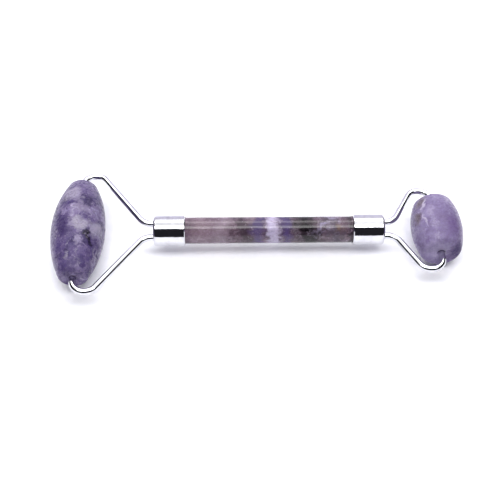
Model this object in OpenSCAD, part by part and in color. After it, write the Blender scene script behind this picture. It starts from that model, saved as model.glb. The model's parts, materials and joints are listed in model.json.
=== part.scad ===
// Face roller: a polished stone bar with a metal cap on each end. A bent wire yoke stands out of each
// cap, and its two inturned ends are the axle pins of a barrel-shaped stone roller.
// The handle lies along X, the roller axles along Y, and the origin is on the surface that the object
// lies on, under the middle of its box. The wires and the handle share one level plane.

/* [Handle] */
// Diameter of the stone handle bar
handle_dia = 9.4; // [7:0.1:14]
// Length of bar that shows between the two ferrules
handle_visible = 59; // [40:1:90]
// How far the bar goes into each ferrule
handle_insert = 5; // [3:0.5:9]
// Chamfer on the bar's ends
handle_chamfer = 0.4; // [0.2:0.1:0.8]

/* [Ferrules] */
// Thickness of the cup's side wall
ferrule_wall = 0.6; // [0.4:0.05:1]
// Thickness of the drilled end wall
ferrule_base = 0.8; // [0.6:0.1:1.5]
// Inner radius of the drawn corner at the end wall
ferrule_corner = 0.4; // [0.2:0.1:1.6]
// Bevel round the open rim
ferrule_rim = 0.25; // [0.1:0.05:0.35]

/* [Cement] */
// Thickness of the cement film between the bar and the cup
cement_film = 0.2; // [0.15:0.05:0.5]
// Cement left between the wire hairpin and the bar's end face
cement_behind = 0.4; // [0.2:0.1:2]
// Width of the hairline where cement meets stone or metal
bond_line = 0.02; // [0.01:0.01:0.04]
// How far the cement stops short of the ferrule's open rim
cement_recess = 0.3; // [0.1:0.1:1]

/* [Wire] */
// Diameter of the wire that both yokes are bent from
wire_dia = 2.4; // [1.4:0.1:3]
// Distance between a yoke's two legs where they leave the ferrule
leg_spacing = 6.4; // [4.6:0.1:8]
// Clearance all round each leg in its drilled hole
leg_hole_gap = 0.05; // [0.02:0.01:0.1]
// Straight wire inside the cup, between the end wall and the hairpin
hairpin_leg = 0.5; // [0.3:0.1:3]
// Least room for cement between the hairpin and the cup's side wall
hairpin_room = 0.1; // [0.05:0.05:0.5]
// Straight wire outside the cup, before the elbow
leg_stub = 0.6; // [0.2:0.1:3]
// Centreline radius of the elbow where a leg spreads
elbow_radius = 5.2; // [3:0.1:6.5]
// Centreline radius of the bend that turns a leg in to its roller
bend_radius = 4.4; // [3:0.1:6]
// Chamfer on the wire's cut ends
wire_chamfer = 0.3; // [0.1:0.05:0.5]

/* [Pins and bores] */
// Length of axle pin inside the stone, at each end
pin_depth = 6; // [4:0.5:8]
// Clearance all round the pin, a running fit
pin_gap = 0.08; // [0.03:0.01:0.1]
// Room between the pin's tip and the bottom of the bore
pin_end_room = 0.8; // [0.3:0.1:2]
// Width of the bevel all round the bore's mouth
mouth_bevel = 0.22; // [0.1:0.02:0.6]
// Full angle of the drill's point at the bottom of the bore
drill_angle = 118; // [90:1:140]

/* [Large roller] */
// Distance from the ferrule's face to the large roller's axle
large_reach = 26.5; // [22:0.5:36]
// Length of the large roller
large_length = 42.5; // [32:0.5:54]
// Diameter of the large roller at its middle
large_dia = 19; // [15:0.5:24]
// Diameter that the barrel's curve would have at the end faces
large_shoulder = 9.6; // [8:0.1:12]
// Radius of the polished edge round each end face
large_edge = 2.2; // [1:0.1:2.6]
// Gap between the large roller's end and the wire's bend
large_side_gap = 1.4; // [0.5:0.1:3]

/* [Small roller] */
// Distance from the ferrule's face to the small roller's axle
small_reach = 19; // [16:0.5:26]
// Length of the small roller
small_length = 22.6; // [18:0.1:28]
// Diameter of the small roller at its middle
small_dia = 18; // [15:0.5:22]
// Diameter that the barrel's curve would have at the end faces
small_shoulder = 13.6; // [10:0.1:14.5]
// Radius of the polished edge round each end face
small_edge = 2.2; // [1:0.1:3]
// Gap between the small roller's end and the wire's bend
small_side_gap = 2.8; // [0.5:0.1:4]

/* [Hidden] */
$fn = 96;

wire_r = wire_dia / 2;
leg_v = leg_spacing / 2;
leg_hole_r = wire_r + leg_hole_gap;
// The cup takes the bar with its film and the hairpin, and its end wall is flat round the leg holes.
cup_bore_r = max(
    handle_dia / 2 + cement_film,
    leg_v + wire_r + hairpin_room,
    leg_v + leg_hole_r + ferrule_corner
);
cup_r = cup_bore_r + ferrule_wall;
pocket = hairpin_leg + leg_v + wire_r + cement_behind;
cup_length = ferrule_base + pocket + handle_insert;
bore_r = wire_r + pin_gap;
bore_depth = pin_depth + pin_end_room;
// Cutting shapes run this far past the faces that they cut.
over = 1;
// Straight wire runs this far into the bends at its ends, where the wire is drawn a little thinner.
lap = 0.02;
bend_thinning = 0.004;

face_x = handle_visible / 2 + cup_length;
large_span = large_length / 2 + large_side_gap + bend_radius;
small_span = small_length / 2 + small_side_gap + bend_radius;
// The two ends differ in length, so the bar's middle stands off the middle of the box.
bar_x = (large_reach + large_dia / 2 - small_reach - small_dia / 2) / 2;
axis_z = max(large_dia, small_dia) / 2;

// From the centre of the elbow's arc to the centre of the bend's arc.
function arc_centres(reach, span) = [
    reach - bend_radius - leg_stub,
    span - bend_radius - leg_v - elbow_radius
];

// A leg slopes along the line that is tangent to both arcs and passes between their centres.
function leg_angle(gap) = atan2(gap.y, gap.x) + asin((elbow_radius + bend_radius) / norm(gap));
function leg_run(gap) = sqrt(gap * gap - pow(elbow_radius + bend_radius, 2));

// Local +X points out of a ferrule, from the outer face of its end wall, at the height of the axis.
module at_large_end() {
    translate([bar_x - face_x, 0, axis_z])
        mirror([1, 0, 0])
            children();
}

module at_small_end() {
    translate([bar_x + face_x, 0, axis_z])
        children();
}

// A profile drawn with its radius across and its length upwards, turned about the X axis.
module turned_about_x() {
    rotate([0, 90, 0])
        rotate_extrude()
            children();
}

module handle_bar() {
    bar_r = handle_dia / 2;
    half = handle_visible / 2 + handle_insert;
    color([0.36, 0.3, 0.42])
        translate([bar_x, 0, axis_z])
            turned_about_x()
                polygon([
                    [0, -half],
                    [bar_r - handle_chamfer, -half],
                    [bar_r, handle_chamfer - half],
                    [bar_r, half - handle_chamfer],
                    [bar_r - handle_chamfer, half],
                    [0, half]
                ]);
}

// Half section of a plug that fills a drawn cup: a flat end at height 0 and one rounded corner.
module plug_profile(radius, corner, depth) {
    translate([0, -depth])
        square([radius, depth - corner]);
    translate([0, -corner])
        square([radius - corner, corner]);
    translate([radius - corner, -corner])
        intersection() {
            circle(r = corner);
            square(corner);
        }
}

// The hollow of the cup, drawn smaller all round by the given gap.
module hollow_profile(gap) {
    translate([0, -ferrule_base - gap])
        plug_profile(cup_bore_r - gap, ferrule_corner, cup_length);
}

module ferrule() {
    color([0.86, 0.86, 0.88])
        difference() {
            turned_about_x()
                difference() {
                    plug_profile(cup_r, ferrule_corner + ferrule_wall, cup_length);
                    hollow_profile(0);
                    translate([cup_r - ferrule_rim, -cup_length])
                        polygon([[0, 0], [ferrule_rim, 0], [ferrule_rim, ferrule_rim]]);
                }
            for (side = [-1, 1])
                translate([-ferrule_base - over, side * leg_v, 0])
                    rotate([0, 90, 0])
                        cylinder(h = ferrule_base + 2 * over, r = leg_hole_r);
        }
}

// The cement fills the cup behind the bar, round the hairpin, and the film round the bar's end.
module cement() {
    bar_end = ferrule_base + pocket;
    color([0.83, 0.82, 0.76])
        difference() {
            turned_about_x()
                difference() {
                    intersection() {
                        hollow_profile(bond_line);
                        translate([0, cement_recess - cup_length])
                            square([cup_r, cup_length]);
                    }
                    translate([0, -bar_end - cup_length])
                        square([handle_dia / 2 + bond_line, cup_length + bond_line]);
                }
            hairpin(wire_r + bond_line, over);
        }
}

// Straight wire along local +X, lapped into the bends at its ends; what follows starts at its far end.
module wire_run(length, radius = wire_r) {
    translate([-lap, 0, 0])
        rotate([0, 90, 0])
            cylinder(h = length + 2 * lap, r = radius);
    translate([length, 0, 0])
        children();
}

// An arc of wire that leaves along local +X and turns to the left; what follows starts at its far end.
module wire_turn(bend, sweep, radius = wire_r) {
    translate([0, bend, 0]) {
        rotate([0, 0, -90])
            rotate_extrude(angle = sweep)
                translate([bend, 0])
                    circle(r = radius - bend_thinning);
        rotate([0, 0, sweep])
            translate([0, -bend, 0])
                children();
    }
}

module wire_tip() {
    rotate([0, 90, 0])
        cylinder(h = wire_chamfer, r1 = wire_r, r2 = wire_r - wire_chamfer);
}

// The part of a yoke inside its cup: a half-turn and two straight legs that leave by the end wall.
module hairpin(radius, beyond) {
    straight = ferrule_base + hairpin_leg + beyond;
    translate([beyond, leg_v, 0])
        rotate([0, 0, 180])
            wire_run(straight, radius)
                wire_turn(leg_v, 180, radius)
                    wire_run(straight, radius);
}

// One leg beyond its stub: the elbow, the slope, the bend in towards the roller, and the axle pin.
module yoke_leg(reach, span, half) {
    gap = arc_centres(reach, span);
    slope = leg_angle(gap);
    pin_length = span - bend_radius - half + pin_depth;
    translate([leg_stub, leg_v, 0])
        wire_turn(elbow_radius, slope)
            wire_run(leg_run(gap))
                mirror([0, 1, 0])
                    wire_turn(bend_radius, slope + 90)
                        wire_run(pin_length - wire_chamfer)
                            wire_tip();
}

module yoke(reach, span, half) {
    color([0.8, 0.8, 0.82])
        union() {
            hairpin(wire_r, leg_stub);
            yoke_leg(reach, span, half);
            mirror([0, 1, 0])
                yoke_leg(reach, span, half);
        }
}

// Half section of a barrel: the belly is one arc, and a smaller arc rounds the edge of each flat end.
module barrel_profile(half, dia, shoulder, edge) {
    rise = (dia - shoulder) / 2;
    belly = (half * half + rise * rise) / (2 * rise);
    belly_x = dia / 2 - belly;
    edge_y = half - edge;
    edge_x = belly_x + sqrt(pow(belly - edge, 2) - edge_y * edge_y);
    to_edge = [edge_x - belly_x, edge_y] / (belly - edge);
    meet = [belly_x, 0] + belly * to_edge;
    intersection() {
        translate([belly_x, 0])
            circle(r = belly);
        translate([0, -meet.y])
            square([dia / 2, 2 * meet.y]);
    }
    for (end = [0, 1])
        mirror([0, end]) {
            polygon([[0, meet.y], meet, [edge_x, edge_y], [edge_x, half], [0, half]]);
            translate([edge_x, edge_y])
                intersection() {
                    circle(r = edge);
                    polygon([[0, 0], 2 * edge * to_edge, [2 * edge, 2 * edge], [0, 2 * edge]]);
                }
        }
}

// A blind bore from an end face: the bevelled mouth, the running length and the drill's point.
module pin_bore(half) {
    point = bore_r / tan(drill_angle / 2);
    translate([0, 0, half - bore_depth])
        cylinder(h = bore_depth + over, r = bore_r);
    translate([0, 0, half - bore_depth - point])
        cylinder(h = point, r1 = 0, r2 = bore_r);
    translate([0, 0, half - mouth_bevel])
        cylinder(h = 2 * mouth_bevel, r1 = bore_r, r2 = bore_r + 2 * mouth_bevel);
}

module roller(reach, half, dia, shoulder, edge) {
    color([0.47, 0.4, 0.6])
        translate([reach, 0, 0])
            rotate([90, 0, 0])
                difference() {
                    rotate_extrude()
                        barrel_profile(half, dia, shoulder, edge);
                    for (end = [0, 1])
                        mirror([0, 0, end])
                            pin_bore(half);
                }
}

module large_end_ferrule() {
    at_large_end() ferrule();
}

module small_end_ferrule() {
    at_small_end() ferrule();
}

module large_end_cement() {
    at_large_end() cement();
}

module small_end_cement() {
    at_small_end() cement();
}

module large_yoke() {
    at_large_end() yoke(large_reach, large_span, large_length / 2);
}

module small_yoke() {
    at_small_end() yoke(small_reach, small_span, small_length / 2);
}

module large_roller() {
    at_large_end() roller(large_reach, large_length / 2, large_dia, large_shoulder, large_edge);
}

module small_roller() {
    at_small_end() roller(small_reach, small_length / 2, small_dia, small_shoulder, small_edge);
}

handle_bar();
large_end_ferrule();
small_end_ferrule();
large_end_cement();
small_end_cement();
large_yoke();
small_yoke();
large_roller();
small_roller();
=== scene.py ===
"""Double-ended face roller: a polished amethyst bar, a plated cup and wire yoke at each end, and two
turning amethyst barrels. Everything is in metres in the part's own frame."""

import json
import math

import bmesh
import bpy
import numpy as np
from mathutils import Matrix, Vector


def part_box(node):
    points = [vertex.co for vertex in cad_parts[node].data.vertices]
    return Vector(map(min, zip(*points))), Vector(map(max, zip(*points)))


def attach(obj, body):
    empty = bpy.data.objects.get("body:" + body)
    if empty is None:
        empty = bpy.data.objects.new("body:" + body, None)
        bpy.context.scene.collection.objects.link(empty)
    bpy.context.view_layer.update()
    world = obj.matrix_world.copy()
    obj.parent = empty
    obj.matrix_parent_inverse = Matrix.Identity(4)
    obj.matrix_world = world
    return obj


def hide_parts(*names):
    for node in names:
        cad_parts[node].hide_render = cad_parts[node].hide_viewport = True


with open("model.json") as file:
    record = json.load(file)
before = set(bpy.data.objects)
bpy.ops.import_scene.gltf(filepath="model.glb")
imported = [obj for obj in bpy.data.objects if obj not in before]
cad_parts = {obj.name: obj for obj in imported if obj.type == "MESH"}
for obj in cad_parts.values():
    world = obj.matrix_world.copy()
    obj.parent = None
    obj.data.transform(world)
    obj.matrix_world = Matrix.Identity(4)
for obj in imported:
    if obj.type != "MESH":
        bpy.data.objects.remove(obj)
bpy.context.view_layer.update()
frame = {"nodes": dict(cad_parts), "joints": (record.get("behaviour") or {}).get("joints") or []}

MM = 0.001
# Sizes that the nodes' boxes can't give, as the part's source has them.
CUP_WALL = 0.6 * MM
CUP_BASE = 0.8 * MM
CUP_INNER_CORNER = 0.4 * MM
CUP_CORNER = CUP_INNER_CORNER + CUP_WALL
CUP_RIM_BEVEL = 0.25 * MM
BAR_CHAMFER = 0.4 * MM
LEG_OFFSET = 3.2 * MM
LEG_HOLE_GAP = 0.05 * MM
HAIRPIN_LEG = 0.5 * MM
LEG_STUB = 0.6 * MM
ELBOW_RADIUS = 5.2 * MM
BEND_RADIUS = 4.4 * MM
WIRE_CHAMFER = 0.3 * MM
PIN_DEPTH = 6.0 * MM
PIN_GAP = 0.08 * MM
BORE_DEPTH = 6.8 * MM
MOUTH_BEVEL = 0.22 * MM
DRILL_ANGLE = math.radians(118)
EDGE_RADIUS = 2.2 * MM
LARGE_SHOULDER = 4.8 * MM
SMALL_SHOULDER = 6.8 * MM

# Hand grinding fades out over these lengths, so that the ends stay exact.
STONE_FADE = 1.5 * MM
BAR_FADE = 4 * MM
# How far hand grinding cuts in at the most.
BAR_GROUND_IN = 0.05 * MM
LARGE_GROUND_IN = 0.12 * MM
SMALL_GROUND_IN = 0.08 * MM
# A ring this small stands in for a point on the axis.
DRILL_TIP = 0.02 * MM
BAR_TIP = 0.05 * MM

# How finely the surfaces are drawn.
AROUND_STONE = 192
AROUND_BAR = 144
AROUND_WIRE = 48
HALF_ROUND_CUP = 73
EDGE_POINTS = 25
BELLY_POINTS = 141
CORNER_POINTS = 13
HOLLOW_CORNER_POINTS = 10
CUT_POINTS = 25
FACE_ROWS = 6
WIRE_STEP = 0.25 * MM
BORE_STEP = 0.5 * MM
BAR_STEP = 0.6 * MM
CUP_STEP = 0.8 * MM
RIM_STEP = 0.2 * MM
MERGE_WITHIN = 1e-8
SHARP = math.radians(35)


# ---------------------------------------------------------------- surfaces


def piece_from(name, points, quads, fans=()):
    """A mesh piece from an array of points, rows of four point numbers, and rows of three.
    Doubles are merged, faces are turned outwards, and edges sharper than SHARP stay crisp."""
    mesh = bpy.data.meshes.new(name)
    faces = quads.tolist() + [row for fan in fans for row in fan.tolist()]
    mesh.from_pydata(points.tolist(), [], faces)
    edit = bmesh.new()
    edit.from_mesh(mesh)
    bmesh.ops.remove_doubles(edit, verts=edit.verts, dist=MERGE_WITHIN)
    bmesh.ops.recalc_face_normals(edit, faces=edit.faces)
    edit.to_mesh(mesh)
    edit.free()
    mesh.polygons.foreach_set("use_smooth", np.ones(len(mesh.polygons), bool))
    mesh.set_sharp_from_angle(angle=SHARP)
    made = bpy.data.objects.new(name, mesh)
    bpy.context.scene.collection.objects.link(made)
    return made


def grid_quads(rows, columns, first=0):
    """Point numbers of the quads of a grid whose columns close on themselves."""
    row, column = np.meshgrid(np.arange(rows - 1), np.arange(columns), indexing="ij")
    beside = (column + 1) % columns
    corners = (row * columns + column, row * columns + beside,
               (row + 1) * columns + beside, (row + 1) * columns + column)
    return first + np.stack(corners, -1).reshape(-1, 4)


def tube(name, rings):
    """A closed surface through rings of points, an array of rows by columns by three. Each end ring
    is closed by a fan of triangles to its middle."""
    rows, columns = rings.shape[:2]
    points = np.concatenate([rings.reshape(-1, 3), rings[0].mean(0)[None], rings[-1].mean(0)[None]])
    column = np.arange(columns)
    beside = (column + 1) % columns
    start = np.stack([beside, column, np.full(columns, rows * columns)], -1)
    last = (rows - 1) * columns
    end = np.stack([last + column, last + beside, np.full(columns, rows * columns + 1)], -1)
    return piece_from(name, points, grid_quads(rows, columns), (start, end))


def arc(centre, radius, start, end, count):
    """Points on a circle in the plane: centre plus radius times cosine and sine of evenly spaced angles."""
    angle = np.linspace(start, end, count)
    return np.stack([centre[0] + radius * np.cos(angle), centre[1] + radius * np.sin(angle)], -1)


def subdivided(profile, step):
    """The same profile with points added on its straight runs, no further apart than step."""
    made = [profile[:1]]
    for a, b in zip(profile[:-1], profile[1:]):
        count = max(1, math.ceil(np.linalg.norm(b - a) / step))
        share = np.linspace(0, 1, count + 1)[1:, None]
        made.append(a + share * (b - a))
    return np.concatenate(made)


def unevenness(angle, along, lobes, seed):
    """How far a hand-ground surface lies below its true curve, from 0 to 1: a sum of a few slow waves,
    whole numbers of them round the axis and part waves along it, squared so that it only cuts in."""
    draw = np.random.default_rng(seed)
    total = np.zeros(np.broadcast(angle, along).shape)
    for lobe in lobes:
        phase, drift = draw.uniform(0, 2 * math.pi, 2)
        total = total + np.cos(lobe * angle + phase) * np.cos(draw.uniform(0.6, 2.2) * along + drift)
    return (0.5 + 0.5 * total / len(lobes)) ** 2


# ---------------------------------------------------------------- the stones


def barrel_profile(half, radius, shoulder):
    """Half section of a drilled barrel, as pairs of place along the axis and radius: the drill's point, the
    bore, its bevelled mouth, the flat end, the polished edge's arc, and the belly's arc, then the same again.
    The belly's radius is half a length squared plus the rise squared, over twice the rise."""
    rise = radius - shoulder
    belly = (half**2 + rise**2) / (2 * rise)
    belly_middle = radius - belly
    edge_along = half - EDGE_RADIUS
    edge_out = belly_middle + math.sqrt((belly - EDGE_RADIUS) ** 2 - edge_along**2)
    meet = math.atan2(edge_along, edge_out - belly_middle)
    bore = yoke_wire_radius + PIN_GAP
    point = bore / math.tan(DRILL_ANGLE / 2)
    bore_part = subdivided(np.array([
        [half - BORE_DEPTH - point, DRILL_TIP],
        [half - BORE_DEPTH, bore],
        [half - MOUTH_BEVEL, bore],
        [half, bore + MOUTH_BEVEL],
        [half, edge_out],
    ]), BORE_STEP)
    edge_part = arc((edge_out, edge_along), EDGE_RADIUS, math.pi / 2, meet, EDGE_POINTS)[1:, ::-1]
    belly_part = arc((belly_middle, 0), belly, meet, -meet, BELLY_POINTS)[1:-1, ::-1]
    far = np.concatenate([bore_part, edge_part])
    near = far[::-1] * [-1, 1]
    return np.concatenate([far, belly_part, near]), len(bore_part)


def stone_barrel(name, node, axle, shoulder, seed, ground_in):
    """A barrel turned about the Y axis through its joint. Its outside is cut in by up to ground_in of hand
    grinding, fading to nothing at the flat ends, so that bores and mouths stay exact."""
    low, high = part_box(node)
    half, radius = (high.y - low.y) / 2, (high.x - low.x) / 2
    profile, bore_count = barrel_profile(half, radius, shoulder)
    along, out = profile[:, :1], profile[:, 1:]
    angle = np.linspace(0, 2 * math.pi, AROUND_STONE, endpoint=False)[None]
    outside = np.zeros_like(along)
    outside[bore_count:-bore_count] = 1
    fade = outside * np.clip((half - abs(along)) / STONE_FADE, 0, 1)
    cut = ground_in * fade * unevenness(angle, along / half * math.pi, (1, 2, 3, 5), seed)
    ring = out - cut
    rings = np.stack([axle[0] + ring * np.sin(angle),
                      axle[1] + along + 0 * angle,
                      axle[2] + ring * np.cos(angle)], -1)
    return tube(name, rings)


def stone_bar(name, node, seed, ground_in):
    """A rod turned about the X axis with a chamfer at each end. Hand grinding cuts it in by up to
    ground_in."""
    low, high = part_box(node)
    middle, radius = (low + high) / 2, (high.z - low.z) / 2
    half = (high.x - low.x) / 2
    profile = subdivided(np.array([
        [half, BAR_TIP],
        [half, radius - BAR_CHAMFER],
        [half - BAR_CHAMFER, radius],
        [BAR_CHAMFER - half, radius],
        [-half, radius - BAR_CHAMFER],
        [-half, BAR_TIP],
    ]), BAR_STEP)
    along, out = profile[:, :1], profile[:, 1:]
    angle = np.linspace(0, 2 * math.pi, AROUND_BAR, endpoint=False)[None]
    fade = np.clip((half - abs(along)) / BAR_FADE, 0, 1)
    ring = out - ground_in * fade * unevenness(angle, along / half * 3 * math.pi, (1, 2, 3), seed)
    rings = np.stack([middle.x + along + 0 * angle,
                      middle.y + ring * np.sin(angle),
                      middle.z + ring * np.cos(angle)], -1)
    return tube(name, rings)


# ---------------------------------------------------------------- the cups


def cup(name, node, outward):
    """A drawn cup with two drilled holes in its end wall. The side is a profile turned about the X axis. Each
    half of the end wall is a grid between a half disc's outline and its hole, where every outline point joins
    the hole's edge straight towards the hole's middle. The grid runs on through the hole to the inside."""
    low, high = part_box(node)
    radius = (high.y - low.y) / 2
    height = (low.z + high.z) / 2
    face = high.x if outward > 0 else low.x
    depth = high.x - low.x
    flat = radius - CUP_CORNER
    inner = radius - CUP_WALL
    quarter = math.pi / 2
    corner_middle = (-CUP_CORNER, flat)
    outer_corner = arc(corner_middle, CUP_CORNER, 0, quarter, CORNER_POINTS)
    hollow_corner = arc(corner_middle, CUP_INNER_CORNER, quarter, 0, HOLLOW_CORNER_POINTS)
    side = subdivided(np.array([
        [-depth + CUP_RIM_BEVEL, radius],
        [-depth, radius - CUP_RIM_BEVEL],
        [-depth, inner],
    ]), RIM_STEP)
    outside = subdivided(np.array([outer_corner[-1], side[0]]), CUP_STEP)
    inside = subdivided(np.array([side[-1], hollow_corner[0]]), CUP_STEP)
    walls = np.concatenate([outer_corner, outside[1:], side[1:], inside[1:], hollow_corner[1:]])
    half_turn = np.linspace(-quarter, quarter, HALF_ROUND_CUP)
    rim = np.stack([flat * np.cos(half_turn), flat * np.sin(half_turn)], -1)
    cut = np.linspace(rim[-1], rim[0], CUT_POINTS)[1:-1]
    outline = np.concatenate([rim, cut])
    hole_middle = np.array([LEG_OFFSET, 0])
    towards = outline - hole_middle
    hole_radius = yoke_wire_radius + LEG_HOLE_GAP
    hole = hole_middle + hole_radius * towards / np.linalg.norm(towards, axis=1, keepdims=True)
    share = np.linspace(0, 1, FACE_ROWS)[:, None, None]
    face_rows = outline + share * (hole - outline)
    plan = np.concatenate([face_rows, face_rows[::-1]])
    level = np.repeat([0.0, -CUP_BASE], len(share))[:, None]
    end_wall = np.stack([level + 0 * plan[..., 0], plan[..., 0], plan[..., 1]], -1)
    turn = np.concatenate([half_turn, half_turn[1:-1] + math.pi])[None]
    along, out = walls[:, :1], walls[:, 1:]
    shell = np.stack([along + 0 * turn, out * np.cos(turn), out * np.sin(turn)], -1)
    parts, quads, first = [], [], 0
    for part in (shell, end_wall, end_wall * [1, -1, 1]):
        parts.append(part.reshape(-1, 3))
        quads.append(grid_quads(part.shape[0], part.shape[1], first))
        first += len(parts[-1])
    points = np.concatenate(parts) * [outward, 1, 1] + [face, 0, height]
    return piece_from(name, points, np.concatenate(quads))


# ---------------------------------------------------------------- the yokes


def yoke_path(reach, span, half):
    """Half of a yoke's centreline, from the hairpin's middle out to the pin's tip, as points and headings.
    It is a chain of straight runs and arcs: on an arc the heading grows in step with the length, and the
    point moves by the change in the heading's sine and cosine times the arc's radius."""
    across = span - BEND_RADIUS - LEG_OFFSET - ELBOW_RADIUS
    onward = reach - BEND_RADIUS - LEG_STUB
    gap = math.hypot(onward, across)
    slope = math.atan2(across, onward) + math.asin((ELBOW_RADIUS + BEND_RADIUS) / gap)
    run = math.sqrt(gap**2 - (ELBOW_RADIUS + BEND_RADIUS) ** 2)
    pin = span - BEND_RADIUS - half + PIN_DEPTH
    quarter = math.pi / 2
    chain = [
        (LEG_OFFSET * quarter, -1 / LEG_OFFSET),
        (CUP_BASE + HAIRPIN_LEG + LEG_STUB, 0),
        (ELBOW_RADIUS * slope, 1 / ELBOW_RADIUS),
        (run, 0),
        (BEND_RADIUS * (slope + quarter), -1 / BEND_RADIUS),
        (pin, 0),
    ]
    place = np.array([-CUP_BASE - HAIRPIN_LEG - LEG_OFFSET, 0.0])
    heading = quarter
    points, headings = [place[None]], [np.array([heading])]
    for length, bend in chain:
        step = np.linspace(0, length, math.ceil(length / WIRE_STEP) + 1)[1:]
        turned = heading + bend * step
        if bend:
            moved = np.stack([np.sin(turned) - math.sin(heading),
                              math.cos(heading) - np.cos(turned)], -1) / bend
        else:
            moved = step[:, None] * [math.cos(heading), math.sin(heading)]
        points.append(place + moved)
        headings.append(turned)
        place, heading = points[-1][-1], turned[-1]
    return np.concatenate(points), np.concatenate(headings)


def yoke_wire(name, cup_node, roller_node, axle, span, outward):
    """A round wire carried along its bent centreline: each ring is the centreline's point plus the wire's
    radius times cosine along the level normal and sine along Z. The radius drops over the chamfer at each
    tip."""
    low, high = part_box(cup_node)
    face = high.x if outward > 0 else low.x
    roller_low, roller_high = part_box(roller_node)
    reach = (axle[0] - face) * outward
    points, headings = yoke_path(reach, span, (roller_high.y - roller_low.y) / 2)
    whole = np.concatenate([points[:0:-1] * [1, -1], points])
    heading = np.concatenate([math.pi - headings[:0:-1], headings])
    length = np.concatenate([[0], np.cumsum(np.linalg.norm(np.diff(whole, axis=0), axis=1))])
    to_tip = np.minimum(length, length[-1] - length)
    radius = yoke_wire_radius - np.clip(WIRE_CHAMFER - to_tip, 0, None)
    angle = np.linspace(0, 2 * math.pi, AROUND_WIRE, endpoint=False)
    normal = np.stack([-np.sin(heading), np.cos(heading)], -1)
    level = whole[:, None] + (radius[:, None] * np.cos(angle))[..., None] * normal[:, None]
    rings = np.stack([face + outward * level[..., 0], level[..., 1],
                      axle[2] + radius[:, None] * np.sin(angle)], -1)
    return tube(name, rings)


# ---------------------------------------------------------------- materials


def linear(colour):
    """A hex colour in sRGB as linear red, green, blue and a full alpha."""
    channels = [int(colour[i:i + 2], 16) / 255 for i in (1, 3, 5)]
    return [c / 12.92 if c <= 0.04045 else ((c + 0.055) / 1.055) ** 2.4 for c in channels] + [1.0]


def add(tree, kind, links=None, stops=None, **settings):
    """A node with its settings, its inputs set or linked, and a colour ramp's stops if it has them."""
    node = tree.nodes.new("ShaderNode" + kind)
    for name, value in settings.items():
        setattr(node, name, value)
    for socket, value in (links or {}).items():
        if isinstance(value, bpy.types.NodeSocket):
            tree.links.new(value, node.inputs[socket])
        else:
            node.inputs[socket].default_value = value
    for number, (place, colour) in enumerate(stops or ()):
        band = node.color_ramp.elements
        stop = band[number] if number < 2 else band.new(place)
        stop.position = place
        stop.color = linear(colour)
    return node


def new_material(name):
    """An empty node material, with its output, its shader and the piece's own coordinates."""
    made = bpy.data.materials.new(name)
    made.use_nodes = True
    tree = made.node_tree
    tree.nodes.clear()
    output = add(tree, "OutputMaterial")
    shader = add(tree, "BsdfPrincipled")
    tree.links.new(shader.outputs[0], output.inputs[0])
    place = add(tree, "TexCoord").outputs["Object"]
    return made, tree, shader, place


def clouded(tree, place, size, detail=5.0, roughness=0.55, offset=(0, 0, 0), stretch=(1, 1, 1)):
    """Cloud noise from 0 to 1 with features about size metres across."""
    moved = add(tree, "Mapping", {"Vector": place, "Location": offset, "Scale": stretch}).outputs[0]
    return add(tree, "TexNoise", {"Vector": moved, "Scale": 1 / size, "Detail": detail,
                                  "Roughness": roughness}).outputs


def blended(tree, share, below, above, blend="MIX"):
    """Two colours blended by a share."""
    return add(tree, "Mix", {0: share, 6: below, 7: above}, data_type="RGBA", blend_type=blend).outputs[2]


def ranged(tree, value, start, end, low=0.0, high=1.0):
    """A value taken smoothly from one range to another."""
    return add(tree, "MapRange", {"Value": value, "From Min": start, "From Max": end, "To Min": low,
                                  "To Max": high}, interpolation_type="SMOOTHSTEP").outputs[0]


def inclusion(tree, place, middle, size, turn=(0, 0, 0), core=0.35):
    """The share of an ellipsoidal mark in the stone: 1 inside its core, falling smoothly to 0 at its edge."""
    local = add(tree, "Mapping", {"Vector": place, "Location": Vector(middle), "Scale": Vector(size) * MM,
                                  "Rotation": [math.radians(t) for t in turn]},
                vector_type="TEXTURE").outputs[0]
    away = add(tree, "VectorMath", {0: local}, operation="LENGTH").outputs["Value"]
    return ranged(tree, away, 1.0, core)


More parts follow.
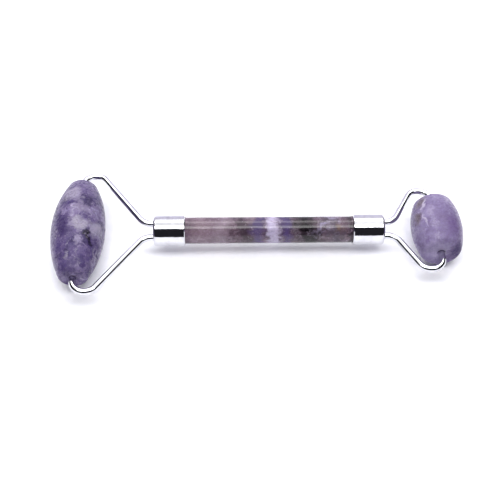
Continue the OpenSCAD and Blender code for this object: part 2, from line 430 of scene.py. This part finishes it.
def amethyst(name, middle, tones, marks, wisp, shadow, cloud=6 * MM, wander=7 * MM, core=0.4, least=0.5,
             threads=0.5, gloss=0.12, polish_range=(0.22, 0.36)):
    """Tumble-polished amethyst. The eye sees milky and violet clouds with soft borders, smoky inclusions,
    pale feathers and short pale threads just under a glassy polish, and small pits that catch the light.
    Each mark is a colour, a place in mm from the middle, a size in mm, a turn in degrees and a strength. A
    mark can also be painted light, such as a pale patch that lightens an end face the lamps leave dark."""
    made, tree, shader, place = new_material(name)
    # Clouds have no sharp edges, so every pattern reads a place that has wandered a few millimetres.
    drift = clouded(tree, place, 7 * MM, 3.0, 0.6)["Color"]
    fine_drift = clouded(tree, place, 2.2 * MM, 4.0, 0.6)["Color"]
    centred = add(tree, "VectorMath", {0: drift, 1: (-0.5, -0.5, -0.5)}, operation="ADD").outputs[0]
    fine_centred = add(tree, "VectorMath", {0: fine_drift, 1: (-0.5, -0.5, -0.5)},
                       operation="ADD").outputs[0]
    wandered = add(tree, "VectorMath", {0: centred, 1: (wander,) * 3, 2: place},
                   operation="MULTIPLY_ADD").outputs[0]
    wandered = add(tree, "VectorMath", {0: fine_centred, 1: (0.9 * wander,) * 3, 2: wandered},
                   operation="MULTIPLY_ADD").outputs[0]
    body = clouded(tree, wandered, cloud, 6.0, 0.62, offset=(0.013, 0.031, 0.007))["Fac"]
    colour = add(tree, "ValToRGB", {0: body}, stops=tones).outputs[0]
    # Wisps: long pale feathers of healed cracks, lying one way through the stone.
    feather = clouded(tree, wandered, 2.6 * MM, 5.0, 0.65, stretch=(1, 0.3, 1))["Fac"]
    colour = blended(tree, ranged(tree, feather, 0.52, 0.74, 0.0, 0.6), colour, linear(wisp))
    smoke = clouded(tree, wandered, 3.4 * MM, 5.0, 0.62, offset=(0.021, 0.003, 0.014))["Fac"]
    colour = blended(tree, ranged(tree, smoke, 0.5, 0.68, 0.0, 0.7), colour, linear(shadow))
    for shade, at, size, turn, strength in marks:
        centre = [middle[i] + at[i] * MM for i in range(3)]
        share = inclusion(tree, wandered, centre, size, turn, core)
        broken = clouded(tree, wandered, 1.6 * MM, 5.0, 0.7, offset=(at[0] * MM, 0, 0))["Fac"]
        share = add(tree, "Math", {0: share, 1: ranged(tree, broken, 0.32, 0.6, least * strength, strength)},
                    operation="MULTIPLY").outputs[0]
        colour = blended(tree, share, colour, linear(shade))
    # Threads: short pale cracks that run over the darker inclusions too.
    thread = clouded(tree, wandered, 1.3 * MM, 6.0, 0.7, offset=(0.005, 0.017, 0.002),
                     stretch=(1, 0.45, 1))["Fac"]
    colour = blended(tree, ranged(tree, thread, 0.56, 0.72, 0.0, threads), colour, linear(wisp))
    # Mottle of about half a millimetre, the crystal grains.
    grain = clouded(tree, place, 0.7 * MM, 3.0, 0.7)["Fac"]
    colour = blended(tree, ranged(tree, grain, 0.35, 0.68, 0.0, 0.5), colour, linear("#d8d2e4"), "SOFT_LIGHT")
    tree.links.new(colour, shader.inputs["Base Color"])
    polish = ranged(tree, clouded(tree, place, 1.2 * MM, 4.0)["Fac"], 0.3, 0.75, *polish_range)
    tree.links.new(polish, shader.inputs["Roughness"])
    pits = ranged(tree, clouded(tree, place, 0.45 * MM, 2.0)["Fac"], 0.74, 0.8)
    waves = clouded(tree, place, 3 * MM, 2.0)["Fac"]
    height = add(tree, "Math", {0: pits, 1: -0.5, 2: waves}, operation="MULTIPLY_ADD").outputs[0]
    bump = add(tree, "Bump", {"Height": height, "Strength": 0.25, "Distance": 0.05 * MM}).outputs[0]
    tree.links.new(bump, shader.inputs["Normal"])
    shader.inputs["IOR"].default_value = 1.544
    shader.inputs["Specular IOR Level"].default_value = gloss
    shader.inputs["Subsurface Weight"].default_value = 0.25
    shader.inputs["Subsurface Radius"].default_value = (1.0, 0.75, 1.1)
    shader.inputs["Subsurface Scale"].default_value = 1.2 * MM
    return made


def bright_plate(name, tone, ripple, ripple_size):
    """Bright chromium plate over a drawn and polished base. The eye sees a hard mirror whose reflections
    waver a little at their edges, from the draw marks under the plate, and a few hazy rubbed spots."""
    made, tree, shader, place = new_material(name)
    haze = clouded(tree, place, 4 * MM, 4.0, 0.6)["Fac"]
    colour = blended(tree, ranged(tree, haze, 0.35, 0.75), linear(tone), linear("#c3c2c8"))
    tree.links.new(colour, shader.inputs["Base Color"])
    tree.links.new(ranged(tree, haze, 0.4, 0.8, 0.035, 0.11), shader.inputs["Roughness"])
    waver = clouded(tree, place, ripple_size, 3.0, 0.55)["Fac"]
    bump = add(tree, "Bump", {"Height": waver, "Strength": 1.0, "Distance": ripple}).outputs[0]
    tree.links.new(bump, shader.inputs["Normal"])
    shader.inputs["Metallic"].default_value = 1.0
    return made


def epoxy_cement(name):
    """Filled epoxy cement, troweled off at the cup's rim. The eye sees a dull off-white line with specks."""
    made, tree, shader, place = new_material(name)
    speck = clouded(tree, place, 0.3 * MM, 3.0)["Fac"]
    colour = blended(tree, ranged(tree, speck, 0.4, 0.7), linear("#8d877c"), linear("#b9b3a6"))
    tree.links.new(colour, shader.inputs["Base Color"])
    bump = add(tree, "Bump", {"Height": speck, "Strength": 0.5, "Distance": 0.03 * MM}).outputs[0]
    tree.links.new(bump, shader.inputs["Normal"])
    shader.inputs["Roughness"].default_value = 0.6
    return made


def studio_paper(name):
    """Seamless white background paper, calendered matt. The eye sees an even cool white."""
    made, tree, shader, place = new_material(name)
    fibre = clouded(tree, place, 3 * MM, 4.0)["Fac"]
    colour = blended(tree, ranged(tree, fibre, 0.3, 0.7), linear("#f3f4f9"), linear("#f7f7fb"))
    tree.links.new(colour, shader.inputs["Base Color"])
    shader.inputs["Roughness"].default_value = 0.9
    shader.inputs["Specular IOR Level"].default_value = 0.1
    return made


# ---------------------------------------------------------------- pieces

axles = {joint["child"]: joint["pos_m"] for joint in frame["joints"]}
large_axle, small_axle = axles["large_roller"], axles["small_roller"]
yoke_low, yoke_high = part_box("large_yoke")
yoke_wire_radius = (yoke_high.z - yoke_low.z) / 2
large_span = yoke_high.y - yoke_wire_radius
small_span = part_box("small_yoke")[1].y - yoke_wire_radius
bar_low, bar_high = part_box("handle_bar")
bar_middle = (bar_low + bar_high) / 2

bar = stone_bar("polished_stone_bar", "handle_bar", 11, BAR_GROUND_IN)
large_cup = cup("large_end_cup", "large_end_ferrule", -1)
small_cup = cup("small_end_cup", "small_end_ferrule", 1)
large_wire = yoke_wire("large_yoke_wire", "large_end_ferrule", "large_roller", large_axle, large_span, -1)
small_wire = yoke_wire("small_yoke_wire", "small_end_ferrule", "small_roller", small_axle, small_span, 1)
large_stone = stone_barrel("large_stone_barrel", "large_roller", large_axle, LARGE_SHOULDER, 3,
                           LARGE_GROUND_IN)
small_stone = stone_barrel("small_stone_barrel", "small_roller", small_axle, SMALL_SHOULDER, 8,
                           SMALL_GROUND_IN)

LARGE_TONES = [(0.3, "#322947"), (0.42, "#443a5e"), (0.52, "#594d70"), (0.62, "#726886"), (0.74, "#8d849f")]
SMALL_TONES = [(0.28, "#5a4c6d"), (0.42, "#695d7e"), (0.55, "#776d8b"), (0.68, "#89809c"), (0.8, "#a19ab0")]
BAR_TONES = [(0.3, "#302530"), (0.42, "#483a44"), (0.52, "#5e4c57"), (0.62, "#72616d"), (0.74, "#8b7b88")]

large_marks = [
    ("#8c8794", (1.7, -3.9, 8.6), (3.2, 3.8, 5), (0, 0, 30), 0.9),
    ("#8a8496", (6.6, -4.5, 6.2), (4.2, 4.5, 5), (0, 0, 30), 0.9),
    ("#8b8496", (-1.2, 10.5, 8.0), (3.2, 6.0, 5), (0, 0, 25), 0.9),
    ("#736a80", (1.6, 3.4, 9.0), (4.6, 3.2, 4), (0, 0, -25), 0.8),
    ("#867e95", (1.2, -10.5, 8.2), (1.5, 3.0, 4), (0, 0, 10), 0.85),
    ("#372c4f", (-3.7, -4.4, 8.2), (3.7, 6.0, 5), (0, 0, 0), 1.0),
    ("#2f2645", (3.6, 7.6, 8.0), (3.1, 4.2, 4), (0, 0, 30), 1.0),
    ("#352b4b", (5.0, -9.6, 7.1), (2.4, 4.8, 4), (0, 0, 18), 0.95),
    ("#110e15", (5.0, -9.2, 7.1), (1.4, 4.0, 3), (0, 0, 18), 1.0),
    ("#41365d", (-5.2, -11.8, 6.2), (1.6, 2.4, 4), (0, 0, 0), 0.9),
    ("#3e3358", (-2.3, -20.6, 4.3), (3.6, 3.0, 6), (0, 0, 0), 0.9),
    ("#3e3358", (2.2, -18.2, 5.6), (3.0, 2.4, 5), (0, 0, 0), 0.9),
    ("#40345c", (-2.7, 5.9, 8.8), (1.7, 2.4, 3), (0, 0, -35), 0.95),
]
small_marks = [
    ("#8f86a0", (-3.4, 1.4, 8.2), (2.4, 4.2, 4), (0, 0, 0), 0.75),
    ("#54484f", (-5.6, 7.2, 6.1), (2.5, 3.8, 4), (0, 0, -30), 0.95),
    ("#574b50", (-7.4, 0.6, 5.2), (1.8, 3.8, 4), (0, 0, 0), 0.92),
    ("#a8a1b4", (-4.9, 5.4, 7.2), (0.6, 4.2, 5), (0, 0, -26), 0.85),
    ("#a8a1b4", (-5.4, -1.6, 7.0), (0.45, 5.4, 5), (0, 0, 12), 0.75),
    ("#615277", (4.2, -5.2, 7.5), (3.4, 5.2, 5), (0, 0, 0), 0.85),
    # Partly painted light: this pale patch over the near end face and its lower edge lightens the end facing
    # the camera, standing in for fill light it lacks; the rest is paler stone.
    ("#8e84a2", (-2.5, -11.3, 2.0), (6.0, 2.4, 6.5), (0, 0, 0), 0.8),
    ("#382c52", (6.0, -11.2, 0.5), (4.0, 3.4, 6.5), (0, 0, 0), 0.95),
]
bar_marks = [
    ("#77656e", (-24.6, 0, 0), (6.0, 40, 40), (0, 0, 12), 0.6),
    ("#83747f", (-16.2, 0, 0), (4.5, 40, 40), (0, 0, -15), 0.7),
    ("#332830", (-9.4, 0, 0), (4.4, 40, 40), (0, 0, 20), 0.9),
    ("#463b62", (-3.4, 0, 0), (3.4, 40, 40), (0, 0, -12), 0.8),
    ("#41355e", (5.2, 0, 0), (3.6, 40, 40), (0, 0, 16), 0.9),
    ("#050406", (12.4, 0, 0), (7.4, 40, 40), (0, 0, 18), 1.0),
    ("#a59db5", (0.9, 0, 0), (3.2, 40, 40), (0, 0, 5), 1.0),
    ("#4a424d", (21.5, 0, 0), (4.6, 40, 40), (0, 0, 20), 0.8),
    ("#8b839a", (18.6, -2.2, 3.8), (5.2, 1.5, 4), (0, 0, 24), 0.9),
    ("#857d92", (21.5, 2.0, 4.0), (5.5, 1.4, 4), (0, 0, -20), 0.85),
    ("#5f4c43", (25.0, -2.6, 3.5), (2.8, 2.4, 4), (0, 0, 15), 0.9),
    ("#2a2229", (29.2, 0, 0), (2.2, 40, 40), (0, 0, 0), 0.95),
]

plate = bright_plate("bright_chromium_plate_cups", "#d9d9de", 0.035 * MM, 2.2 * MM)
wire_plate = bright_plate("bright_chromium_plate_wire", "#d9d9de", 0.012 * MM, 2.0 * MM)
cement = epoxy_cement("filled_epoxy_cement")
amethyst_bar = amethyst("smoky_amethyst_tumble_polished", bar_middle, BAR_TONES, bar_marks, "#a698a8",
                        "#3a2f3a", 8 * MM, core=0.1, least=0.8, threads=0.3, gloss=0.3,
                        polish_range=(0.08, 0.14))
amethyst_large = amethyst("banded_amethyst_tumble_polished", large_axle, LARGE_TONES, large_marks,
                          "#a49dac", "#352c49")
amethyst_small = amethyst("lavender_amethyst_tumble_polished", small_axle, SMALL_TONES, small_marks,
                          "#a69eb4", "#64567a", 11 * MM, wander=3 * MM, core=0.3, threads=0.25)

for piece, material, body, slot, node in (
    (bar, amethyst_bar, "handle", "bar_stone", "handle_bar"),
    (large_cup, plate, "handle", "plated_cap", "large_end_ferrule"),
    (small_cup, plate, "handle", "plated_cap", "small_end_ferrule"),
    (large_wire, wire_plate, "handle", "plated_wire", "large_yoke"),
    (small_wire, wire_plate, "handle", "plated_wire", "small_yoke"),
    (large_stone, amethyst_large, "large_roller", "large_roller_stone", "large_roller"),
    (small_stone, amethyst_small, "small_roller", "small_roller_stone", "small_roller"),
):
    piece.data.materials.append(material)
    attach(piece, body)
    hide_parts(node)

for node in ("large_end_cement", "small_end_cement"):
    for holder in frame["nodes"][node].material_slots:
        holder.material = cement

# ---------------------------------------------------------------- studio

FLOOR_HALF = 1.6
FLOOR_DROP = 0.01 * MM
# The two barrels differ by a millimetre in diameter, so the surface that both rest on is tilted a little.
large_low, small_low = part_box("large_roller")[0].z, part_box("small_roller")[0].z
floor_slope = (small_low - large_low) / (small_axle[0] - large_axle[0])
corners = np.array([[-1, -1], [1, -1], [1, 1], [-1, 1]]) * FLOOR_HALF
levels = large_low + floor_slope * (corners[:, :1] - large_axle[0]) - FLOOR_DROP
floor_mesh = bpy.data.meshes.new("paper_floor")
floor_mesh.from_pydata(np.concatenate([corners, levels], 1).tolist(), [], [(0, 1, 2, 3)])
floor = bpy.data.objects.new("paper_floor", floor_mesh)
floor_mesh.materials.append(studio_paper("seamless_white_paper"))
bpy.context.scene.collection.objects.link(floor)


def soft_light(name, place, aim, width, depth, brightness):
    """A rectangular soft light of a given brightness, whatever its size, aimed at a point and out of shot."""
    lamp = bpy.data.lights.new(name, "AREA")
    lamp.shape = "RECTANGLE"
    lamp.size, lamp.size_y = width, depth
    lamp.energy = brightness * math.pi * width * depth
    holder = bpy.data.objects.new(name, lamp)
    holder.location = place
    holder.rotation_euler = (Vector(aim) - Vector(place)).to_track_quat("-Z", "Y").to_euler()
    holder.visible_camera = False
    bpy.context.scene.collection.objects.link(holder)
    return holder


# A light tent: a white ceiling sheet with two lamp strips just under it, a faintly violet sheet behind, and
# dark on the camera's side. The front fill lights the stones but isn't seen in the plate.
LAMP_HEIGHT = 0.6
STRIP_HEIGHT = LAMP_HEIGHT - 0.002
soft_light("ceiling_sheet", (0, 0.19, LAMP_HEIGHT), (0, 0.19, 0), 1.1, 1.04, 1.4)
soft_light("near_lamp_strip", (0, -0.185, STRIP_HEIGHT), (0, -0.185, 0), 0.9, 0.22, 5.2)
soft_light("far_lamp_strip", (0, 0.37, STRIP_HEIGHT), (0, 0.37, 0), 0.9, 0.26, 3.4)
back_sheet = soft_light("back_sheet", (0, 0.9, 0.37), (0, 0, 0.37), 1.8, 0.75, 1.0)
back_sheet.data.color = linear("#f1ecff")[:3]
front_fill = soft_light("front_fill", (-0.4, -0.6, 0.55), (0, 0, 0), 0.5, 0.5, 1.6)
front_fill.visible_glossy = False

world = bpy.data.worlds.new("dark_studio")
bpy.context.scene.world = world
world.use_nodes = True
sky = world.node_tree
sky.nodes.clear()
seen = add(sky, "Background", {"Color": linear("#f4f4f8"), "Strength": 1.0}).outputs[0]
unseen = add(sky, "Background", {"Color": linear("#28272c"), "Strength": 1.0}).outputs[0]
straight = add(sky, "LightPath").outputs["Is Camera Ray"]
both = add(sky, "MixShader", {0: straight, 1: unseen, 2: seen}).outputs[0]
add(sky, "OutputWorld", {0: both})
bpy.context.scene.view_settings.view_transform = "Standard"

# ---------------------------------------------------------------- camera

LENS = 70.0
SENSOR_WIDTH = 36
CLIP_START = 0.01
DISTANCE = 337.4 * MM
ELEVATION = math.radians(49.355)
AZIMUTH = math.radians(-2.448)
ROLL = math.radians(1.4)
TARGET = Vector((bar_middle.x - 6.894 * MM, -9.3 * MM, bar_middle.z))

back = Vector((math.sin(AZIMUTH) * math.cos(ELEVATION), -math.cos(AZIMUTH) * math.cos(ELEVATION),
               math.sin(ELEVATION)))
right = Vector((math.cos(AZIMUTH), math.sin(AZIMUTH), 0))
above = back.cross(right)
side = math.cos(ROLL) * right + math.sin(ROLL) * above
top = math.cos(ROLL) * above - math.sin(ROLL) * right
camera = bpy.data.objects.new("camera", bpy.data.cameras.new("camera"))
camera.data.lens = LENS
camera.data.sensor_width = SENSOR_WIDTH
camera.data.clip_start = CLIP_START
facing = Matrix((side, top, back)).transposed().to_4x4()
camera.matrix_world = Matrix.Translation(TARGET + DISTANCE * back) @ facing
bpy.context.scene.collection.objects.link(camera)
bpy.context.scene.camera = camera
